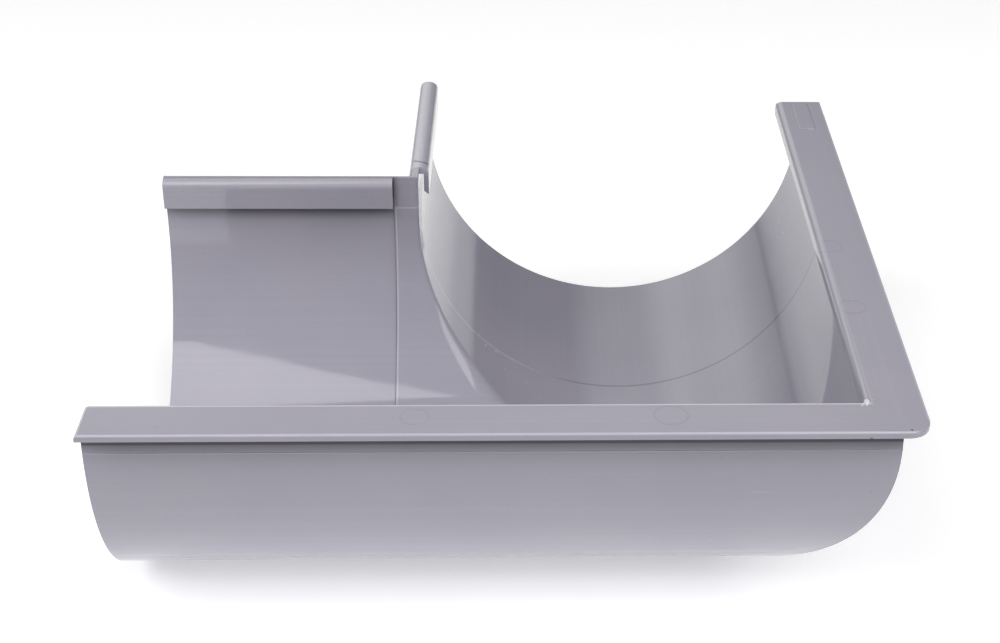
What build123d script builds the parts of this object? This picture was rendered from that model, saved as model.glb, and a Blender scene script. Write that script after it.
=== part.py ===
# External corner of a half round plastic gutter, moulded in one piece.
# Two arms meet at a right angle. Each arm is a thin trough that takes the end
# of a gutter: the gutter's front bead goes under the flange on the outer wall,
# and its rear edge goes up into the hook on the inner wall.
# All sizes are in millimetres. The section is drawn with u measured inwards
# from the face of the outer wall, and z upwards from the trough's lowest line.
import os
from build123d import *

# Sizes that can be chosen.

# The arms and the trough that the gutter lies in.
arm_length = 202.0
trough_radius = 62.9
wall = 1.1
side_rise = 9.0

# The corner's own walls are thicker inside, so that the gutter's end stops there.
stop_step = 0.7
stop_clearance = 5.8

# The flange along the outer walls, with its lip turned down into the trough.
flange_out = 6.0
flange_in = 9.0
flange_thick = 1.95
lip_drop = 5.2
lip_thick = 1.5
lip_round = 2.0
lip_edge_share = 0.45
flange_corner_round = 6.0
flange_edge_round = 0.4
flange_end_bevel = 0.8

# The hook along the inner walls, an upside down U with its lip inside the trough.
rim_rise = 6.5
rim_bulge = 1.3
rim_round = 2.8
hook_drop = 9.3
hook_reach = 3.5
hook_lip_thick = 1.5
hook_roof = 2.3
hook_bevel = 1.2
rim_slope = 1.5
rim_inner_share = 0.2

# The fine line where the halves of the mould met, at the height of the axis.
ridge_out = 0.15
ridge_height = 0.5

# The shallow pad on top of one flange, near its end.
pad_width = 5.9
pad_length = 22.0
pad_height = 0.35
pad_from_end = 2.4
pad_inset = 4.3
pad_slope = 35.0

# Sizes that follow from them.

outer_radius = trough_radius + wall
axis_height = outer_radius
flange_top = axis_height + side_rise
rim_top = flange_top + rim_rise
rear_face = 2 * outer_radius
rear_inner = rear_face - wall
stop_at = rear_face + stop_clearance
hook_low = rim_top - hook_drop
hook_face = rear_inner - hook_reach
middle = (arm_length - flange_out) / 2

# The mitre, and how far an arm is drawn past it before it is cut.
mitre_angle = 45.0
past_mitre = 2 * flange_out
cut_size = 3 * arm_length

# Places closer than this are taken as the same place.
same_place = 0.01


def block(u_low, u_high, z_low, z_high):
    """A rectangle of the section between two depths and two heights."""
    shape = Rectangle(u_high - u_low, z_high - z_low)
    return Pos((u_low + u_high) / 2, (z_low + z_high) / 2) * shape


def polygon(points):
    """A closed outline of the section with straight sides."""
    return make_face(Polyline(*points, close=True))


def near(sketch, u, z):
    """The corners of a section that lie at one place."""
    return [v for v in sketch.vertices() if abs(v.X - u) < same_place and abs(v.Y - z) < same_place]


def trough_section(inner_radius):
    """The half round with its two upright sides.

    The wall's outside is the same all along an arm, and its inside may stand
    proud, right up to the rim.
    """
    thick = outer_radius - inner_radius
    ring = Circle(outer_radius) - Circle(inner_radius)
    ring = Pos(outer_radius, axis_height) * ring
    ring -= block(-wall, rear_face + wall, axis_height, rim_top + outer_radius)
    front = block(0, thick, axis_height, flange_top - flange_thick / 2)
    rear = block(rear_face - thick, rear_face, axis_height, rim_top)
    return ring + front + rear


def ridges():
    """The fine mould line outside, at the height of the trough's axis."""
    low = axis_height - ridge_height / 2
    high = axis_height + ridge_height / 2
    sunk = wall / 2
    front = polygon([(sunk, low), (0, low), (-ridge_out, axis_height), (0, high), (sunk, high)])
    back_out = rear_face + ridge_out
    back_in = rear_face - sunk
    rear = polygon([(back_in, low), (rear_face, low), (back_out, axis_height), (rear_face, high), (back_in, high)])
    return front + rear


def flange_section():
    """The flat flange on the outer wall with its inner edge turned down."""
    plate = block(-flange_out, flange_in, flange_top - flange_thick, flange_top)
    lip = block(flange_in - lip_thick, flange_in, flange_top - lip_drop, flange_top)
    shape = plate + lip
    shape = fillet(near(shape, flange_in, flange_top), lip_round)
    low = flange_top - lip_drop
    lip_edge_round = lip_thick * lip_edge_share
    shape = fillet(near(shape, flange_in, low), lip_edge_round)
    shape = fillet(near(shape, flange_in - lip_thick, low), lip_edge_round)
    return shape


def rim_section():
    """The thicker rim along the top of the inner wall, outside only."""
    low = hook_low - rim_slope
    outside = rear_face + rim_bulge
    points = [(rear_inner, rim_top), (outside, rim_top), (outside, hook_low)]
    points += [(rear_face, low), (rear_inner, low)]
    return polygon(points)


def hook_section():
    """The roof and the lip of the hook, without the wall that carries them."""
    roof = block(hook_face, rear_face, rim_top - hook_roof, rim_top)
    lip_out = hook_face + hook_lip_thick
    lip = [(hook_face, rim_top), (hook_face, hook_low), (lip_out, hook_low + hook_bevel), (lip_out, rim_top)]
    return roof + polygon(lip)


def slot_section():
    """The space inside the hook that the gutter's rear edge goes up into."""
    lip_out = hook_face + hook_lip_thick
    return block(lip_out, rear_inner, hook_low - hook_bevel, rim_top - hook_roof)


def socket_section():
    """The section of an arm where the gutter's end lies, with the hook."""
    shape = trough_section(trough_radius) + ridges() + flange_section()
    shape = shape + rim_section() + hook_section() - slot_section()
    shape = fillet(near(shape, hook_face, rim_top), rim_round)
    shape = fillet(near(shape, rear_face + rim_bulge, rim_top), rim_round)
    return shape


def corner_section():
    """The section next to the mitre, plain inside and without the hook."""
    shape = trough_section(trough_radius - stop_step) + ridges() + flange_section()
    shape = shape + rim_section()
    shape = fillet(near(shape, rear_inner - stop_step, rim_top), wall * rim_inner_share)
    shape = fillet(near(shape, rear_face + rim_bulge, rim_top), rim_round)
    return shape


def end_bevel():
    """What the flange's top edge loses at the arm's open end."""
    end = -arm_length
    low = flange_top - flange_end_bevel
    corner = polygon([(end, low), (end + flange_end_bevel, flange_top), (end, flange_top)])
    return Pos(0, flange_in, 0) * extrude(Plane.XZ * corner, amount=flange_in + flange_out)


def arm():
    """One arm along X with its open end at the left, cut off at the mitre."""
    socket_length = arm_length - stop_at
    socket = extrude(Plane.YZ * socket_section(), amount=socket_length)
    socket = Pos(-arm_length, 0, 0) * socket
    corner = extrude(Plane.YZ * corner_section(), amount=stop_at + past_mitre)
    corner = Pos(-stop_at, 0, 0) * corner
    beyond = Rot(0, 0, mitre_angle) * Pos(cut_size / 2, 0, 0) * Box(cut_size, cut_size, cut_size)
    return socket + corner - beyond - end_bevel()


def flange_pad():
    """The shallow raised pad near the end of the right hand flange."""
    base = Rectangle(pad_width, pad_length)
    y_middle = arm_length - pad_from_end - pad_length / 2
    x_middle = flange_out - pad_inset - pad_width / 2
    base = Pos(x_middle, y_middle, flange_top - pad_height) * base
    return extrude(base, amount=2 * pad_height, taper=pad_slope)


def gutter_corner():
    """The whole moulding: two mitred arms and the rounded flange corner."""
    first = arm()
    second = mirror(first, about=Plane(origin=(0, 0, 0), z_dir=(1, 1, 0)))
    body = first + second
    upright = body.edges().filter_by(Axis.Z)
    tip = Vector(flange_out, -flange_out, flange_top - flange_thick / 2)
    body = fillet([e for e in upright if (e.center() - tip).length < same_place], flange_corner_round)
    top_edges = body.edges().filter_by_position(Axis.Z, flange_top - same_place, flange_top + same_place)
    outer = [e for e in top_edges if max(e.center().X, -e.center().Y) > flange_out / 2]
    body = fillet(outer, flange_edge_round)
    body = body + flange_pad()
    return Pos(middle, -middle, 0) * body


os.makedirs("parts", exist_ok=True)
export_step(gutter_corner(), "parts/gutter_corner.step")
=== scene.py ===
import math
import bmesh
import bpy
from mathutils import Matrix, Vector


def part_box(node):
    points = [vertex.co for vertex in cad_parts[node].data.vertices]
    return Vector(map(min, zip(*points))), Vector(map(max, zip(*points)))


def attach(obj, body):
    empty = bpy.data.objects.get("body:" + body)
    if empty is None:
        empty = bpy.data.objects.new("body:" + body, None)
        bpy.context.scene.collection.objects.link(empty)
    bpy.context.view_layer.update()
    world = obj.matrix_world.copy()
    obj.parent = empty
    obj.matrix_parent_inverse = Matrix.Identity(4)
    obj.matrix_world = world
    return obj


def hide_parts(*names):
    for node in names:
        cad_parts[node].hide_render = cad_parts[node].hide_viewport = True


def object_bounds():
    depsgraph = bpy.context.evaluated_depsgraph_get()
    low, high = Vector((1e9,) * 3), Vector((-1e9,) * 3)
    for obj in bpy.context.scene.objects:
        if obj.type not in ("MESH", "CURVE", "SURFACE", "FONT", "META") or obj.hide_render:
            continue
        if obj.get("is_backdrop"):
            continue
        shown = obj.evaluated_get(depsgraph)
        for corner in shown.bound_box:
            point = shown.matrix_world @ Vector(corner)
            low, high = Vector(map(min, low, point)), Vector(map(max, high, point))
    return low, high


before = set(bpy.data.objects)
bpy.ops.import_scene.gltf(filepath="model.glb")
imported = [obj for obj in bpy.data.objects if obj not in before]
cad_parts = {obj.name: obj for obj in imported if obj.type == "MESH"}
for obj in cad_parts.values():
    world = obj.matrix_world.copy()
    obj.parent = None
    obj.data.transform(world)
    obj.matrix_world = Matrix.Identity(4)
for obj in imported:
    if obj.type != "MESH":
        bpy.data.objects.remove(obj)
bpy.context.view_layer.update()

# The moulding's section, drawn at the open end of the left arm.
# A real corner is injected in rigid PVC in one shot, so trough, flange and rim
# are one wall that is followed round here from point to point.
millimetre = 0.001
node_low, node_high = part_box("gutter_corner")
flange_out = 6.0 * millimetre
corner_x = node_high.x - flange_out
corner_y = node_low.y + flange_out
open_end = node_low.x

outer_radius = 64.0 * millimetre
wall = 1.1 * millimetre
inner_radius = outer_radius - wall
axis_height = outer_radius
side_rise = 9.0 * millimetre
flange_top = axis_height + side_rise
rim_top = node_high.z
rear_face = 2 * outer_radius
rear_inner = rear_face - wall

flange_in = 9.0 * millimetre
flange_thick = 1.95 * millimetre
flange_top_round = 0.4 * millimetre
flange_low_round = 0.25 * millimetre
lip_drop = 5.2 * millimetre
lip_thick = 1.5 * millimetre
lip_top_round = 2.0 * millimetre
lip_low_round = 0.65 * millimetre
ridge_out = 0.15 * millimetre
ridge_half = 0.25 * millimetre
hook_drop = 9.3 * millimetre
hook_low = rim_top - hook_drop
hook_roof = 2.3 * millimetre
rim_bulge = 1.3 * millimetre
rim_slope = 1.5 * millimetre
rim_low_round = 0.5 * millimetre
arc_steps = 96
close = 0.02 * millimetre


def choose(rule, kind="VERT"):
    """Selects the vertices, edges or faces that a rule names, and nothing else."""
    bpy.ops.mesh.select_mode(type=kind)
    bpy.ops.mesh.select_all(action="DESELECT")
    work = bmesh.from_edit_mesh(bpy.context.edit_object.data)
    parts = {"VERT": work.verts, "EDGE": work.edges, "FACE": work.faces}[kind]
    for part in [p for p in parts if rule(p)]:
        part.select_set(True)
    bmesh.update_edit_mesh(bpy.context.edit_object.data)


def depth(point):
    """How far a place lies in from the outer wall's face, on the left arm."""
    return point.y - corner_y


def at(point, inward, height):
    """Whether a place lies at one depth and height of the section."""
    return abs(depth(point) - inward) < close and abs(point.z - height) < close


def draw(inward, up):
    """Draws the next straight stretch of the section from the last point."""
    move = {"value": (0, inward, up)}
    bpy.ops.mesh.extrude_region_move(TRANSFORM_OT_translate=move)


def round_off(inward, height, radius, steps):
    """Rounds one corner of the section."""
    choose(lambda v: at(v.co, inward, height))
    bpy.ops.mesh.bevel(offset=radius, segments=steps, affect="VERTICES")


bpy.ops.object.select_all(action="DESELECT")
axis_y = corner_y + outer_radius
bpy.ops.mesh.primitive_circle_add(vertices=2 * arc_steps, radius=outer_radius, fill_type="NOTHING",
                                  location=(open_end, axis_y, axis_height), rotation=(0, math.pi / 2, 0))
moulding = bpy.context.object
moulding.name = "gutter_corner_moulding"
bpy.ops.object.transform_apply(location=True, rotation=True, scale=True)
bpy.ops.object.mode_set(mode="EDIT")
bpy.ops.mesh.select_all(action="SELECT")
bpy.ops.mesh.bisect(plane_co=(0, 0, axis_height - ridge_half), plane_no=(0, 0, 1), clear_outer=True)

# Up the front wall over the fine mould line, round the flange and its lip, and back to the wall.
choose(lambda v: v.co.z > axis_height - ridge_half - close and v.co.y < axis_y)
draw(-ridge_out, ridge_half)
draw(ridge_out, ridge_half)
draw(0, side_rise - ridge_half - flange_thick)
draw(-flange_out, 0)
draw(0, flange_thick)
draw(flange_out, 0)
draw(flange_in, 0)
draw(0, -lip_drop)
draw(-lip_thick, 0)
draw(0, lip_drop - flange_thick)
draw(-(flange_in - lip_thick - wall), 0)
draw(0, -(side_rise - flange_thick))

# Down round the trough, up the rear wall and round the thick rim.
bpy.ops.mesh.spin(steps=arc_steps, angle=-math.pi, center=(open_end, axis_y, axis_height), axis=(1, 0, 0))
draw(0, rim_top - hook_roof - axis_height)
draw(0, hook_roof)
draw(wall + rim_bulge, 0)
draw(0, -hook_drop)
draw(-rim_bulge, -rim_slope)
draw(0, -(hook_low - rim_slope - axis_height - ridge_half))
draw(ridge_out, -ridge_half)
draw(-ridge_out, -ridge_half)
bpy.ops.mesh.select_all(action="SELECT")
bpy.ops.mesh.remove_doubles(threshold=close)
round_off(flange_in, flange_top, lip_top_round, 8)
round_off(flange_in, flange_top - lip_drop, lip_low_round, 4)
round_off(flange_in - lip_thick, flange_top - lip_drop, lip_low_round, 4)
round_off(-flange_out, flange_top, flange_top_round, 4)
round_off(-flange_out, flange_top - flange_thick, flange_low_round, 2)
round_off(rear_face + rim_bulge, hook_low, rim_low_round, 3)

# The left arm, pulled out of its section up to the corner.
# Past the step where the gutter's end stops, the walls are thicker inside,
# from under the flange to the top of the rim.
stop_clearance = 5.8 * millimetre
stop_x = corner_x - rear_face - stop_clearance
stop_step = 0.7 * millimetre
step_length = 0.2 * millimetre
step_x = stop_x + step_length
flange_end_bevel = 0.8 * millimetre


def lengthen(length):
    """Pulls what is selected along the left arm."""
    bpy.ops.mesh.extrude_region_move(TRANSFORM_OT_translate={"value": (length, 0, 0)})


def around(point):
    """How far a place lies from the trough's axis."""
    return math.hypot(depth(point) - outer_radius, point.z - axis_height)


def at_station(part, x):
    """Whether an edge or a face lies in one cross section of the left arm."""
    return all(abs(v.co.x - x) < close for v in part.verts)


def on_step(v):
    return abs(v.co.x - step_x) < close


def shift(rule, inward):
    """Moves the places of the step that a rule names across the left arm."""
    choose(lambda v: on_step(v) and rule(v))
    bpy.ops.transform.translate(value=(0, inward, 0))


bpy.ops.mesh.select_all(action="SELECT")
lengthen(flange_end_bevel)
lengthen(stop_x - open_end - flange_end_bevel)
lengthen(step_length)

# The bevel of the flange's top edge at the open end.
bevel_low = flange_top - flange_end_bevel
choose(lambda v: abs(v.co.x - open_end) < close and v.co.z > bevel_low - close and depth(v.co) < flange_in + close)
bpy.ops.transform.resize(value=(1, 1, 0), center_override=(open_end, corner_y, bevel_low))
bpy.ops.mesh.remove_doubles(threshold=flange_end_bevel / 4)

# The stop step, the trough's round first and then the upright walls.
choose(lambda v: on_step(v) and v.co.z < axis_height - close and abs(around(v.co) - inner_radius) < close)
shrink = (inner_radius - stop_step) / inner_radius
bpy.ops.transform.resize(value=(1, shrink, shrink), center_override=(step_x, axis_y, axis_height))
front_low = flange_top - flange_thick + close
shift(lambda v: abs(depth(v.co) - wall) < close and axis_height - close < v.co.z < front_low, stop_step)
shift(lambda v: abs(depth(v.co) - rear_inner) < close and v.co.z > axis_height - close, -stop_step)
choose(on_step)
bpy.ops.mesh.remove_doubles(threshold=close)
choose(lambda e: at_station(e, step_x), "EDGE")
lengthen(corner_x - step_x)
choose(lambda e: at_station(e, open_end), "EDGE")
bpy.ops.mesh.edge_face_add()
bpy.ops.mesh.select_all(action="SELECT")
bpy.ops.mesh.normals_make_consistent(inside=False)

# The hook, a rail with its lip turned down, on the inside of the rim.
# It is moulded on the rear wall, and the gutter's rear edge snaps up into it.
hook_reach = 3.5 * millimetre
hook_lip = 1.5 * millimetre
hook_bevel = 1.2 * millimetre
hook_face = rear_inner - hook_reach
slot_roof = rim_top - hook_roof
rim_round = 2.8 * millimetre
hook_tuck = 0.6 * millimetre
level = 0.01


def within(value, low, high):
    return low - close < value < high + close


def on_socket(f):
    return all(within(v.co.x, open_end, stop_x) for v in f.verts)


def roof_root(f):
    return on_socket(f) and all(at(v.co, rear_inner, slot_roof) or at(v.co, rear_inner, rim_top) for v in f.verts)


def lip_root(f):
    low = all(abs(v.co.z - slot_roof) < close for v in f.verts)
    return low and on_socket(f) and all(within(depth(v.co), hook_face, hook_face + hook_lip) for v in f.verts)


def inside_top(e):
    return all(abs(v.co.z - rim_top) < close for v in e.verts) and e.calc_face_angle(math.pi) < level


def end_seam(e):
    """The upright seams between the roof's and the lip's own end faces."""
    upright = abs(e.verts[0].co.x - e.verts[1].co.x) < close
    lip_back = hook_face + hook_lip
    return upright and all(abs(depth(v.co) - lip_back) < close and v.co.z > slot_roof - close for v in e.verts)


def along_top(e):
    outer = all(at(v.co, rear_face + rim_bulge, rim_top) for v in e.verts)
    return outer or all(at(v.co, hook_face, rim_top) for v in e.verts)


choose(roof_root, "FACE")
draw(-(hook_reach - hook_lip), 0)
draw(-hook_lip, 0)
choose(lip_root, "FACE")
draw(0, -(slot_roof - hook_low))
choose(lambda v: at(v.co, hook_face + hook_lip, hook_low))
bpy.ops.transform.translate(value=(0, 0, hook_bevel))

# The rim's and the hook's top edges are rounded by more than the roof is thick.
# So the seams across its faces are taken out first, and the end's corner is tucked in.
choose(inside_top, "EDGE")
bpy.ops.mesh.dissolve_edges(use_verts=False)
choose(lambda e: all(at(v.co, hook_face, slot_roof) for v in e.verts), "EDGE")
bpy.ops.mesh.dissolve_edges(use_verts=True)
choose(end_seam, "EDGE")
bpy.ops.mesh.dissolve_edges(use_verts=True)
choose(lambda v: at(v.co, rear_inner, rim_top) and abs(v.co.x - stop_x) < close)
bpy.ops.transform.translate(value=(0, -hook_tuck, 0))
choose(along_top, "EDGE")
bpy.ops.mesh.bevel(offset=rim_round, segments=12, affect="EDGES", clamp_overlap=False)

# The outer corner of the flange, turned about the corner of the walls.
# The mitre then cuts the arm off at half a right angle, where the second arm
# meets it.
flange_steps = 10
mitre_angle = math.pi / 4
mitre_normal = (math.cos(mitre_angle), math.cos(mitre_angle), 0)


def at_corner(e):
    return at_station(e, corner_x) and all(depth(v.co) < close for v in e.verts)


choose(lambda e: at_corner(e) and all(v.co.z < flange_top - 2 * flange_thick for v in e.verts), "EDGE")
lengthen(flange_out)
choose(lambda e: at_corner(e) and all(v.co.z > flange_top - flange_thick - close for v in e.verts), "EDGE")
bpy.ops.mesh.spin(steps=flange_steps, angle=-mitre_angle, center=(corner_x, corner_y, 0), axis=(0, 0, 1))
bpy.ops.mesh.select_all(action="SELECT")
bpy.ops.mesh.remove_doubles(threshold=close / 2)
bpy.ops.mesh.select_all(action="SELECT")
bpy.ops.mesh.bisect(plane_co=(corner_x, corner_y, 0), plane_no=mitre_normal, clear_outer=True,
                    threshold=close / 10)

# The small roundings of the cut ends, the hook's edges, the step and the rim.
# No edge of a moulding is quite sharp, and each of these catches a thin light.
edge_round = 0.12 * millimetre
hook_edge_round = 0.25 * millimetre
step_round = 0.3 * millimetre
rim_edge_round = 0.22 * millimetre
sharp_turn = math.radians(30)


def sharp(e):
    return e.calc_face_angle(0) > sharp_turn


def under_lip(e):
    low = all(at(v.co, hook_face, hook_low) for v in e.verts)
    high = all(at(v.co, hook_face + hook_lip, hook_low + hook_bevel) for v in e.verts)
    return low or high


def hook_end(e):
    inside = all(depth(v.co) < rear_inner - close and v.co.z > hook_low - close for v in e.verts)
    return at_station(e, stop_x) and inside


def step_edge(e):
    return at_station(e, step_x) and sharp(e) and e.is_convex and e.verts[0].co.z < rim_top - close


def thick_rim_edge(e):
    return all(at(v.co, rear_inner - stop_step, rim_top) and v.co.x > step_x - close for v in e.verts)


def soften(rule, radius, steps):
    """Rounds the edges that a rule names."""
    choose(rule, "EDGE")
    bpy.ops.mesh.bevel(offset=radius, segments=steps, affect="EDGES", clamp_overlap=True)


bpy.ops.mesh.select_all(action="SELECT")
bpy.ops.mesh.normals_make_consistent(inside=False)
soften(under_lip, hook_edge_round, 3)
soften(lambda e: sharp(e) and hook_end(e), hook_edge_round, 3)
soften(step_edge, step_round, 2)
soften(thick_rim_edge, rim_edge_round, 3)
soften(lambda e: sharp(e) and at_station(e, open_end), edge_round, 2)
bpy.ops.object.mode_set(mode="OBJECT")


# The second arm, the same as the first about the mitre.
# Both come out of one mould, so they meet in one closed skin.
def modify(piece, kind, **values):
    """Adds a modifier to a piece, sets its values and applies it."""
    bpy.ops.object.modifier_add(type=kind)
    modifier = piece.modifiers[0]
    for name, value in values.items():
        setattr(modifier, name, value)
    bpy.ops.object.modifier_apply(modifier=modifier.name)


bpy.ops.object.empty_add(location=(corner_x, corner_y, 0), rotation=(0, 0, mitre_angle))
mitre = bpy.context.object
bpy.ops.object.select_all(action="DESELECT")
moulding.select_set(True)
bpy.context.view_layer.objects.active = moulding
modify(moulding, "MIRROR", mirror_object=mitre, merge_threshold=close / 2)
bpy.data.objects.remove(mitre)

# The mitre's rounding inside the trough, which is widest low down.
# A moulded corner isn't quite sharp, and this one shows as a soft bright line.
mitre_round = 1.5 * millimetre
mitre_round_low = 4.0 * millimetre
mitre_bend = math.radians(12)
round_steps = 16
round_height = rim_top / round_steps
widens_below = 0.62 * axis_height
widens_over = 0.25 * axis_height


def on_mitre(e):
    return all(abs(v.co.x - corner_x + v.co.y - corner_y) < close for v in e.verts)


def bent(e):
    inner = all(outer_radius < depth(v.co) < rear_inner for v in e.verts)
    return inner and e.is_convex and e.calc_face_angle(0) > mitre_bend and e.verts[0].co.z < rim_top - rim_round


bpy.ops.object.mode_set(mode="EDIT")
bpy.ops.mesh.select_all(action="SELECT")
bpy.ops.mesh.normals_make_consistent(inside=False)
for i in range(round_steps):
    low, high = i * round_height, (i + 1) * round_height
    choose(lambda e: on_mitre(e) and bent(e) and low <= e.verts[0].co.z < high, "EDGE")
    widening = min(1, max(0, (widens_below - high) / widens_over))
    width = mitre_round + widening * (mitre_round_low - mitre_round)
    bpy.ops.transform.edge_bevelweight(value=width / mitre_round_low)
bpy.ops.object.mode_set(mode="OBJECT")
modify(moulding, "BEVEL", limit_method="WEIGHT", width=mitre_round_low, segments=8, profile=0.55,
       use_clamp_overlap=False)
bpy.ops.object.mode_set(mode="EDIT")
bpy.ops.mesh.select_all(action="SELECT")
bpy.ops.mesh.normals_make_consistent(inside=False)
bpy.ops.object.mode_set(mode="OBJECT")
bpy.ops.object.shade_smooth_by_angle(angle=math.radians(25))
modify(moulding, "WEIGHTED_NORMAL", keep_sharp=True)

# The shallow pad near the end of the right hand flange.
# It is part of the moulding, a third of a millimetre proud.
pad_width = 5.9 * millimetre
pad_length = 22.0 * millimetre
pad_height = 0.35 * millimetre
pad_in = 1.25 * millimetre
pad_from_end = 2.4 * millimetre
pad_edge_round = 0.15 * millimetre
pad_top_share = 0.86
pad_top_long = 1 - (1 - pad_top_share) * pad_width / pad_length
pad_place = (corner_x - pad_in, node_high.y - pad_from_end - pad_length / 2, flange_top)
bpy.ops.object.select_all(action="DESELECT")
bpy.ops.mesh.primitive_cube_add(size=1, location=pad_place, scale=(pad_width, pad_length, 2 * pad_height))
pad = bpy.context.object
pad.name = "flange_pad"
bpy.ops.object.transform_apply(location=True, rotation=True, scale=True)
bpy.ops.object.mode_set(mode="EDIT")
choose(lambda f: f.normal.z > 0.9, "FACE")
bpy.ops.transform.resize(value=(pad_top_share, pad_top_long, 1))
bpy.ops.mesh.select_all(action="SELECT")
bpy.ops.mesh.bevel(offset=pad_edge_round, segments=3, affect="EDGES")
bpy.ops.object.mode_set(mode="OBJECT")
bpy.ops.object.shade_smooth_by_angle(angle=math.radians(50))
modify(pad, "WEIGHTED_NORMAL", keep_sharp=True)

# The plastic, a semi gloss violet grey as it leaves the mould.
# The mould's polish shows as fine lines along each arm, its ejector pins left
# faint rings on the flange, and dust and short scuffs lie on all of it.
plastic = bpy.data.materials.new("grey_plastic_moulded")
plastic.use_nodes = True
tree = plastic.node_tree
shader = tree.nodes["Principled BSDF"]


def node(kind, links=(), **values):
    """Adds a node, sets its own values, and links or sets its sockets."""
    made = tree.nodes.new("ShaderNode" + kind)
    for name, value in values.items():
        setattr(made, name, value)
    for socket, source in links:
        if isinstance(source, bpy.types.NodeSocket):
            tree.links.new(source, made.inputs[socket])
        else:
            made.inputs[socket].default_value = source
    return made


def calculate(operation, first, second=0.0):
    return node("Math", [(0, first), (1, second)], operation=operation).outputs[0]


def ramp(value, start, end, low=0.0, high=1.0):
    """Goes from one level to another while the value goes from start to end."""
    links = [("Value", value), ("From Min", start), ("From Max", end), ("To Min", low), ("To Max", high)]
    return node("MapRange", links).outputs["Result"]


def mixed(share, first, second):
    links = [("Factor", share), ("A", first), ("B", second)]
    return node("Mix", links, data_type="RGBA", clamp_factor=True).outputs["Result"]


def painted(under, mask, strength, tone):
    """Tints a colour where a mask holds, as strongly as is given."""
    return mixed(calculate("MULTIPLY", mask, strength), under, tone)


def every(first, *others):
    """The places where all of some masks hold."""
    for other in others:
        first = calculate("MULTIPLY", first, other)
    return first


def either(first, *others):
    """The places where at least one of some masks holds."""
    for other in others:
        first = calculate("MAXIMUM", first, other)
    return first


def stripe(value, middle, half_width, core):
    """A line round one value, full inside its core and gone outside its width."""
    return ramp(calculate("ABSOLUTE", calculate("SUBTRACT", value, middle)), half_width, core)


def band(value, low, high, soft):
    """All between two values, with soft edges inside them."""
    return every(ramp(value, low, low + soft), ramp(value, high, high - soft))


def noise(vector, scale, detail=2.0):
    return node("TexNoise", [("Vector", vector), ("Scale", scale), ("Detail", detail)]).outputs["Fac"]


def stretched(vector, factors):
    return node("VectorMath", [(0, vector), (1, factors)], operation="MULTIPLY").outputs["Vector"]


def away(centre):
    """How far a place of the surface lies from a centre."""
    return node("VectorMath", [(0, place), (1, centre)], operation="DISTANCE").outputs["Value"]


def ring(centre, radius, half_width):
    """A fine circle round a centre on a flat face."""
    return stripe(away(centre), radius, half_width, 0.0)


def specks(scale, size, share):
    """Small round spots, in a share of the cells that the surface is split into."""
    cells = node("TexVoronoi", [("Vector", place), ("Scale", scale)], voronoi_dimensions="3D")
    red = node("SeparateColor", [("Color", cells.outputs["Color"])]).outputs["Red"]
    return every(ramp(cells.outputs["Distance"], size, size / 2), ramp(red, share, share - 0.01))


place = node("TexCoord").outputs["Object"]
axes = node("SeparateXYZ", [("Vector", place)]).outputs
hair = 0.1 * millimetre
second_arm = ramp(calculate("ADD", axes["X"], axes["Y"]), -hair, hair)
in_from_first = calculate("SUBTRACT", axes["Y"], corner_y)
in_from_second = calculate("SUBTRACT", corner_x, axes["X"])
inward = calculate("MINIMUM", in_from_first, in_from_second)

# The plain colour, with the polish lines, the grain and the dust.
polish_along = 6
polish_across = 900
along_first = noise(stretched(place, (polish_along, polish_across, polish_across)), 1.0)
along_second = noise(stretched(place, (polish_across, polish_along, polish_across)), 1.0)
polish = node("Mix", [("Factor", second_arm), ("A", along_first), ("B", along_second)]).outputs["Result"]
grain_fine = 1400
wave_fine = 38
cloud_fine = 30
grain = noise(place, grain_fine, 3.0)
waves = noise(place, wave_fine, 1.0)
scuff_lines = ramp(noise(stretched(place, (60, 700, 1800)), 1.0, 1.0), 0.67, 0.75)
scuffs = every(scuff_lines, ramp(noise(place, 45, 0.0), 0.7, 0.78))

darker_grey = (0.337, 0.325, 0.385, 1)
paler_grey = (0.353, 0.339, 0.399, 1)
grain_tone = (0.22, 0.21, 0.24, 1)
scuff_tone = (0.5, 0.49, 0.53, 1)
dark_dust_tone = (0.12, 0.11, 0.13, 1)
pale_dust_tone = (0.62, 0.61, 0.66, 1)
colour = mixed(ramp(noise(place, cloud_fine, 4.0), 0.35, 0.65), darker_grey, paler_grey)
colour = painted(colour, ramp(grain, 0.62, 0.8), 0.25, grain_tone)
colour = painted(colour, ramp(polish, 0.5, 0.7), 0.05, scuff_tone)
colour = painted(colour, specks(230, 0.05, 0.12), 0.5, dark_dust_tone)
colour = painted(colour, specks(170, 0.05, 0.03), 0.15, pale_dust_tone)
colour = painted(colour, scuffs, 0.3, scuff_tone)

# The rings of the ejector pins on the flange, each a place, a radius and half a width.
pin_tone = (0.24, 0.23, 0.27, 1)
pin_marks = (
    ((-0.0230, -0.0960, flange_top), 3.5, 0.25),
    ((-0.0848, -0.1003, flange_top), 0.5, 0.2),
    ((0.0400, -0.0957, flange_top), 4.2, 0.25),
    ((0.0921, -0.0045, flange_top), 3.6, 0.25),
    ((0.0933, -0.0408, flange_top), 3.6, 0.25),
)
rings = either(*[ring(spot, radius * millimetre, half * millimetre) for spot, radius, half in pin_marks])
colour = painted(colour, rings, 0.35, pin_tone)

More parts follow.
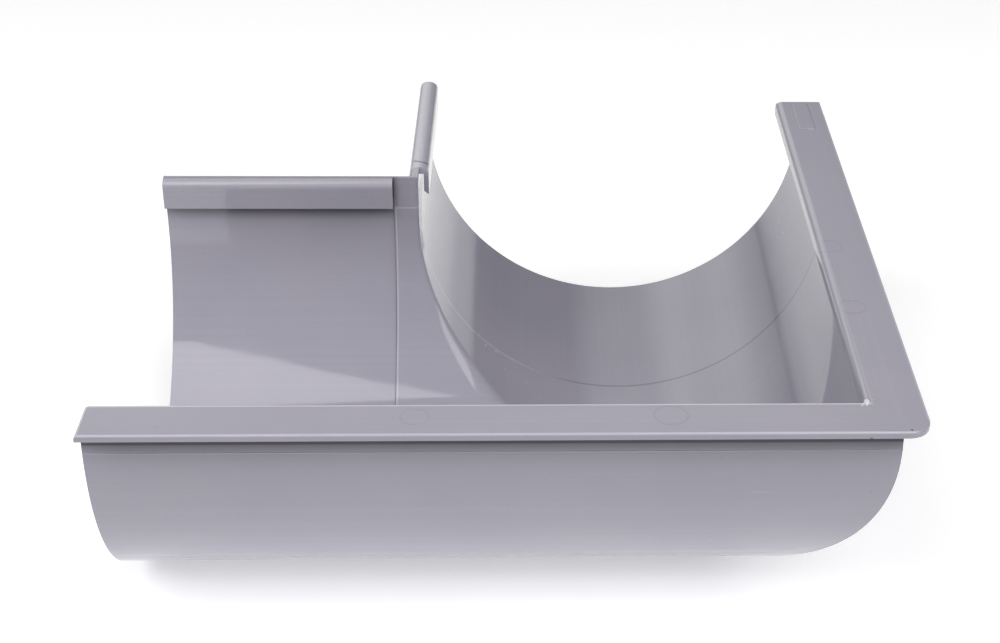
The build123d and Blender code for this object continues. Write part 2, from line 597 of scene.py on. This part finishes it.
# The hooks' tops, painted paler and mottled towards the top, and the arc mark on one of them.
pale_from = rim_top - 3.3 * millimetre
pale_full = rim_top - 0.7 * millimetre
hook_top_pale_tone = (0.56, 0.545, 0.6, 1)
arc_tone = (0.1, 0.095, 0.11, 1)
on_hooks = either(ramp(axes["X"], stop_x + hair, stop_x), ramp(axes["Y"], -stop_x - hair, -stop_x))
hook_top_pale = every(ramp(axes["Z"], pale_from, pale_full), on_hooks, ramp(noise(place, 420, 3.0), 0.3, 0.6, 0.85, 1.0))
hook_top_pale = every(hook_top_pale, ramp(axes["Y"], 0.034, 0.036, 0.5, 1.0))
colour = painted(colour, hook_top_pale, 0.6, hook_top_pale_tone)
arc_place = (-0.0274, 0.0425, rim_top)
hook_arc = every(ring(arc_place, 3.0 * millimetre, 0.7 * millimetre), ramp(axes["Y"], 0.0418, 0.0410))
colour = painted(colour, hook_arc, 0.8, arc_tone)

# The stop line, where the thicker corner begins, has a painted shadow in it and a painted highlight on the edge
# beside it.
step_shadow_tone = (0.1, 0.09, 0.11, 1)
step_highlight_tone = (0.6, 0.58, 0.64, 1)
below_axis = calculate("MINIMUM", calculate("SUBTRACT", axes["Z"], axis_height), 0.0)


def stop_line(along, across, stop, axis, half_width, strength):
    """The line across one arm's inside, and nothing on its outside."""
    sideways = calculate("SUBTRACT", across, axis)
    across_squared = calculate("MULTIPLY", sideways, sideways)
    squares = calculate("ADD", across_squared, calculate("MULTIPLY", below_axis, below_axis))
    inside = ramp(calculate("SQRT", squares), inner_radius + 3 * hair, inner_radius + 2 * hair)
    low = ramp(axes["Z"], 0.0702, 0.07, 0.0, strength)
    return every(stripe(along, stop, half_width, half_width / 4), inside, low)


first_line = stop_line(axes["X"], axes["Y"], step_x, axis_y, 0.3 * millimetre, 0.35)
second_line = stop_line(axes["Y"], axes["X"], -step_x - 0.5 * millimetre, -axis_y, 0.8 * millimetre, 0.4)
step_edge_highlight = stop_line(axes["X"], axes["Y"], step_x + 0.45 * millimetre, axis_y, 0.3 * millimetre, 0.5)
rightward = ramp(axes["X"], 0.0, 0.02)
leftward = calculate("SUBTRACT", 1.0, rightward)
# Painted shadow in the step, then a painted highlight on its edge and on the second arm's left part.
colour = mixed(either(first_line, every(second_line, rightward)), colour, step_shadow_tone)
colour = mixed(either(step_edge_highlight, every(second_line, leftward)), colour, step_highlight_tone)

# The torn edge at the flange's inner corner, and the nicks round it.
torn_tone = (0.85, 0.84, 0.87, 1)
nick_tone = (0.06, 0.055, 0.06, 1)
torn_place = (0.0889, -0.0894, 0.0727)
ragged = calculate("ADD", away(torn_place), calculate("MULTIPLY", noise(place, 900), 3 * millimetre))
torn = ramp(ragged, 3.6 * millimetre, 2.9 * millimetre)
colour = mixed(torn, colour, torn_tone)
nicks = ramp(away((0.0886, -0.1041, 0.0711)), 0.6 * millimetre, 0.3 * millimetre)
for spot in ((0.0986, -0.1029, 0.0729), (0.1018, -0.1030, 0.0727), (0.0975, -0.098, 0.068)):
    nicks = either(nicks, ramp(away(spot), 0.5 * millimetre, 0.2 * millimetre))
colour = painted(colour, nicks, 0.8, nick_tone)

# Pale lines: a painted highlight on the mould's ridge outside at the axis, a pale seam inside on the rear wall,
# and painted highlights along the flange's inner and outer edges.
seam_and_highlight_tone = (0.6, 0.58, 0.66, 1)
edge_highlight_tone = (0.68, 0.66, 0.73, 1)
wall_line_height = 69.4 * millimetre
lip_line_in = 7.7 * millimetre
rear_y = corner_y + rear_inner
on_rear = band(axes["Y"], rear_y - stop_step - 7 * hair, rear_y + 4 * hair, 3 * hair)
outside = ramp(inward, 3 * hair, 2 * hair)
ridge_highlight = every(stripe(axes["Z"], axis_height, 4 * hair, hair), outside)
past_step = ramp(axes["X"], step_x + 5 * hair, step_x + 8 * hair)
wall_line = every(stripe(axes["Z"], wall_line_height, 4 * hair, hair), on_rear, past_step)
# The ridge's painted highlight at half strength, with the rear wall's seam.
colour = painted(colour, either(calculate("MULTIPLY", ridge_highlight, 0.5), wall_line), 0.45, seam_and_highlight_tone)
flange_edge_highlight = stripe(inward, lip_line_in, 8 * hair, 5 * hair)
flange_edge_highlight = every(flange_edge_highlight, ramp(axes["Z"], 0.0716, 0.072), ramp(second_arm, 0.0, 1.0, 0.8, 0.15))
outer_edge_highlight = every(ramp(inward, -0.0053, -0.0057), ramp(axes["Z"], 0.0723, 0.0728, 0.15, 0.5))
# The painted highlights on the flange's edges.
colour = mixed(either(flange_edge_highlight, outer_edge_highlight), colour, edge_highlight_tone)

# Painted shade in the corners under the flange, under the hook and beside its end, darkening the colour where
# their shadows fall.
painted_shade_tone = (0.09, 0.085, 0.1, 1)
flange_shadow = either(ramp(axes["Z"], 0.0642, 0.0659, 0.0, 0.3), ramp(axes["Z"], 0.0659, 0.0666, 0.0, 0.85))
flange_shadow = every(flange_shadow, ramp(inward, 3 * hair, hair), ramp(axes["Z"], 0.07112, 0.07104))
hook_shadow = every(on_rear, ramp(axes["X"], stop_x + hair, stop_x), ramp(axes["Z"], 0.0648, 0.0684, 0.0, 0.5))
hook_end_shadow = every(ramp(axes["X"], stop_x + 18 * hair, stop_x + 3 * hair), ramp(axes["X"], stop_x, stop_x + hair))
hook_end_shadow = every(hook_end_shadow, on_rear, ramp(axes["Z"], 0.0692, 0.0702, 0.0, 0.6))
# The painted shadows, mixed into the colour.
colour = mixed(either(flange_shadow, hook_shadow, hook_end_shadow), colour, painted_shade_tone)
tree.links.new(colour, shader.inputs["Base Color"])

# How glossy it is: duller where it is scuffed or torn, and low on the right arm's inside walls.
rough = ramp(noise(place, 60, 3.0), 0.3, 0.7, 0.045, 0.075)
for mask, share in ((scuffs, 0.3), (torn, 0.5)):
    rough = calculate("ADD", rough, calculate("MULTIPLY", mask, share))
tree.links.new(rough, shader.inputs["Roughness"])
dull_band = band(axes["Z"], 0.014, 0.036, 6 * millimetre)
dull_band = every(dull_band, second_arm, ramp(inward, 11 * hair, 13 * hair))
tree.links.new(ramp(dull_band, 0.0, 1.0, 0.5, 0.17), shader.inputs["Specular IOR Level"])

# The surface's slight waves and its fine relief, each mask with how far it rises.
height = calculate("MULTIPLY", waves, 0.06 * millimetre)
for mask, rise in ((polish, 0.0026), (grain, 0.0016), (rings, 0.03), (torn, 0.2)):
    height = calculate("ADD", height, calculate("MULTIPLY", mask, rise * millimetre))
surface = node("Bump", [("Height", height), ("Distance", 1.0), ("Strength", 1.0)])
tree.links.new(surface.outputs["Normal"], shader.inputs["Normal"])
for piece in (moulding, pad):
    piece.data.materials.clear()
    piece.data.materials.append(plastic)
    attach(piece, "root")
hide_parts("gutter_corner")

# The floor, a wide matt sheet that the object lies on, white round the object and made to glow there, a painted
# pool of light. In front of it and far behind it is dark, out of the picture, which gives the plastic the dark
# parts that it mirrors.
floor_size = 6
lit_from = -0.22
lit_full = -0.16
lit_until = 0.43
lit_gone = 1.0
lit_far = 0.1
floor_dark = (0.16, 0.16, 0.16, 1)
floor_white = (0.9, 0.9, 0.9, 1)
floor_glow = 0.36
bpy.ops.mesh.primitive_plane_add(size=floor_size, location=(0, 0, 0))
floor = bpy.context.object
floor.name = "floor"
floor_paint = bpy.data.materials.new("floor_pale")
floor_paint.use_nodes = True
tree = floor_paint.node_tree
shader = tree.nodes["Principled BSDF"]
backward = node("SeparateXYZ", [("Vector", node("TexCoord").outputs["Object"])]).outputs["Y"]
# White and glowing round the object: a painted pool of light.
lit = every(ramp(backward, lit_from, lit_full), ramp(backward, lit_until, lit_gone, 1.0, lit_far))
tree.links.new(mixed(lit, floor_dark, floor_white), shader.inputs["Base Color"])
tree.links.new(calculate("MULTIPLY", lit, floor_glow), shader.inputs["Emission Strength"])
shader.inputs["Emission Color"].default_value = (1, 1, 1, 1)
shader.inputs["Roughness"].default_value = 0.8
floor.data.materials.append(floor_paint)
floor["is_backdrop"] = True

# The room, dark but for two soft bright patches behind the table, as a lit wall
# would give. Each has a heading, a height and a spread in degrees, and a strength.
patches = ((-22, 15, 22, 1.2), (-3, 31, 19, 0.75))
world = bpy.data.worlds.new("studio")
bpy.context.scene.world = world
world.use_nodes = True
tree = world.node_tree
room_light = tree.nodes["Background"]
room_light.inputs["Color"].default_value = (1, 1, 1, 1)
direction = node("TexCoord").outputs["Generated"]
brightness = 0.0
for heading, rise, spread, strength in patches:
    heading, rise, spread = math.radians(heading), math.radians(rise), math.radians(spread)
    toward = (math.sin(heading) * math.cos(rise), math.cos(heading) * math.cos(rise), math.sin(rise))
    nearness = node("VectorMath", [(0, direction), (1, toward)], operation="DOT_PRODUCT").outputs["Value"]
    links = [("Value", nearness), ("From Min", math.cos(spread)), ("To Max", strength)]
    patch = node("MapRange", links, interpolation_type="SMOOTHSTEP").outputs["Result"]
    brightness = calculate("ADD", brightness, patch)
tree.links.new(brightness, room_light.inputs["Strength"])

# The lights, two softboxes high to the left and the right of the camera, and a
# small fill light behind it for the fronts, which the plastic doesn't mirror.
softbox_place = (0.857, -0.531, 1.179)
softbox_wide = 1.6
softbox_high = 0.97
softbox_energy = {-1: 15.2, 1: 13.7}
softbox_turn = (-39.5, -16.1, -143.4)
fill_place = (0.1, -1.05, 0.85)
fill_turn = (53, 0, 5)
fill_size = 0.6
fill_energy = 5.0
for side in (-1, 1):
    bpy.ops.object.light_add(type="AREA", location=softbox_place)
    softbox = bpy.context.object
    softbox.location.x *= side
    softbox.rotation_euler = [math.radians(turn) for turn in softbox_turn]
    softbox.rotation_euler.y *= side
    softbox.rotation_euler.z *= side
    softbox.data.shape = "RECTANGLE"
    softbox.data.size = softbox_wide
    softbox.data.size_y = softbox_high
    softbox.data.energy = softbox_energy[side]

bpy.ops.object.light_add(type="AREA", location=fill_place)
fill = bpy.context.object
fill.rotation_euler = [math.radians(turn) for turn in fill_turn]
fill.data.shape = "SQUARE"
fill.data.size = fill_size
fill.data.energy = fill_energy
fill.visible_glossy = False

# The camera, with a long lens, about 60 cm from the object and a little above it.
# Its place, its turn and its shift were fitted to the outlines in the photograph.
camera_place = (0.00482, -0.49155, 0.32250)
camera_tilt = math.radians(28.3)
camera_heading = math.radians(-3.0)
camera_roll = math.radians(1.37)
bpy.ops.object.camera_add(location=camera_place)
camera = bpy.context.object
turn = Matrix.Rotation(camera_heading, 3, "Z") @ Matrix.Rotation(math.pi / 2 - camera_tilt, 3, "X")
turn = turn @ Matrix.Rotation(camera_roll, 3, "Z")
camera.rotation_euler = turn.to_euler()
camera.data.sensor_width = 36
camera.data.lens = 68.37
camera.data.shift_x = -0.1156
camera.data.shift_y = -0.0351
camera.data.clip_start = 0.01
bpy.context.scene.camera = camera
bpy.context.scene.view_settings.view_transform = "Standard"

low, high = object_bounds()
